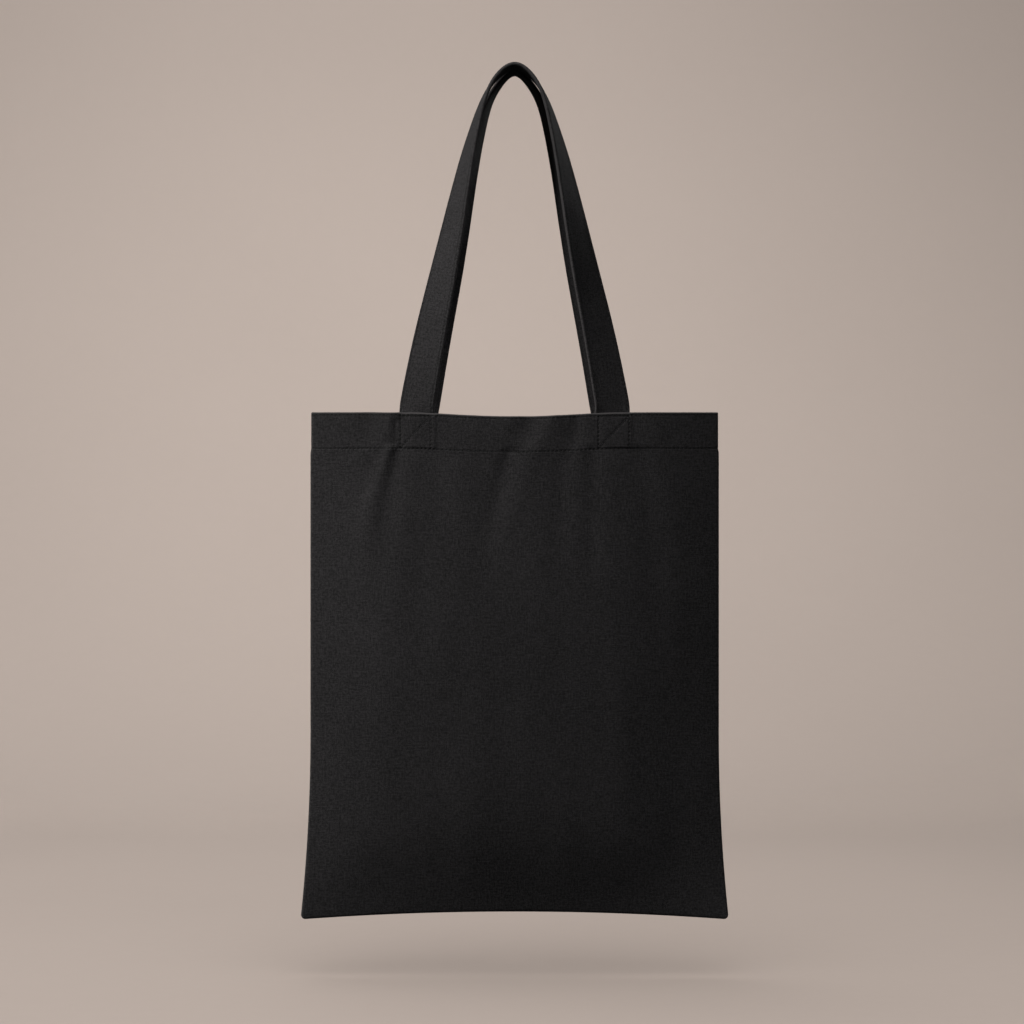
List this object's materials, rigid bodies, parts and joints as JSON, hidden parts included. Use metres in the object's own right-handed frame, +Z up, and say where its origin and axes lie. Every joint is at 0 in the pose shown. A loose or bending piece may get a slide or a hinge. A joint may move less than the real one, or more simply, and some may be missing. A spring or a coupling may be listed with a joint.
{
  "type": "tote bag",
  "caption": "Flat open-topped cloth carrier bag of two sewn panels, with two long strap handles box-stitched inside a turned hem.",
  "frame": {"origin": "hang point: the underside of the two handle tops, in the bag's middle plane", "axes": "+Z up along the hanging bag, +X across the bag to the right as its front is seen, the front panel faces -Y"},
  "size_m": [0.355, 0.0688, 0.7054],
  "materials": {
    "black_canvas": "matt cotton canvas",
    "handle_webbing": "matt folded canvas strap",
    "sewing_thread": "satin polyester thread",
    "overlock_thread": "matt textured thread"
  },
  "bodies": {
    "back": {"back_handle_left_end": "handle_webbing", "back_handle_right_end": "handle_webbing", "back_hem_facing": "black_canvas", "back_hem_stitching": "sewing_thread", "back_left_box_stitch": "sewing_thread", "back_panel": "black_canvas", "back_right_box_stitch": "sewing_thread", "back_top_stitching": "sewing_thread", "bottom_seam_allowance": "black_canvas", "bottom_seam_overlock": "overlock_thread", "bottom_seam_stitching": "sewing_thread", "left_seam_allowance": "black_canvas", "left_seam_overlock": "overlock_thread", "left_seam_stitching": "sewing_thread", "right_seam_allowance": "black_canvas", "right_seam_overlock": "overlock_thread", "right_seam_stitching": "sewing_thread"},
    "front": {"front_handle_left_end": "handle_webbing", "front_handle_right_end": "handle_webbing", "front_hem_facing": "black_canvas", "front_hem_stitching": "sewing_thread", "front_left_box_stitch": "sewing_thread", "front_panel": "black_canvas", "front_right_box_stitch": "sewing_thread", "front_top_stitching": "sewing_thread"},
    "front_handle": {"front_handle": "handle_webbing", "front_handle_outer_stitching": "sewing_thread", "front_handle_inner_stitching": "sewing_thread"},
    "back_handle": {"back_handle": "handle_webbing", "back_handle_outer_stitching": "sewing_thread", "back_handle_inner_stitching": "sewing_thread"}
  },
  "joints": [
    {"name": "mouth_open", "type": "hinge", "parent": "back", "child": "front", "pos_m": [0, 0, -0.702], "axis": [1, 0, 0], "range_deg": [0, 8], "stiffness_Nm_per_rad": 0.6, "springref_deg": -20.05},
    {"name": "front_handle_fold", "type": "hinge", "parent": "front", "child": "front_handle", "pos_m": [0, -0.0235, -0.279], "axis": [1, 0, 0], "range_deg": [0, 165]},
    {"name": "back_handle_fold", "type": "hinge", "parent": "back", "child": "back_handle", "pos_m": [0, 0.0235, -0.279], "axis": [-1, 0, 0], "range_deg": [0, 165]}
  ]
}
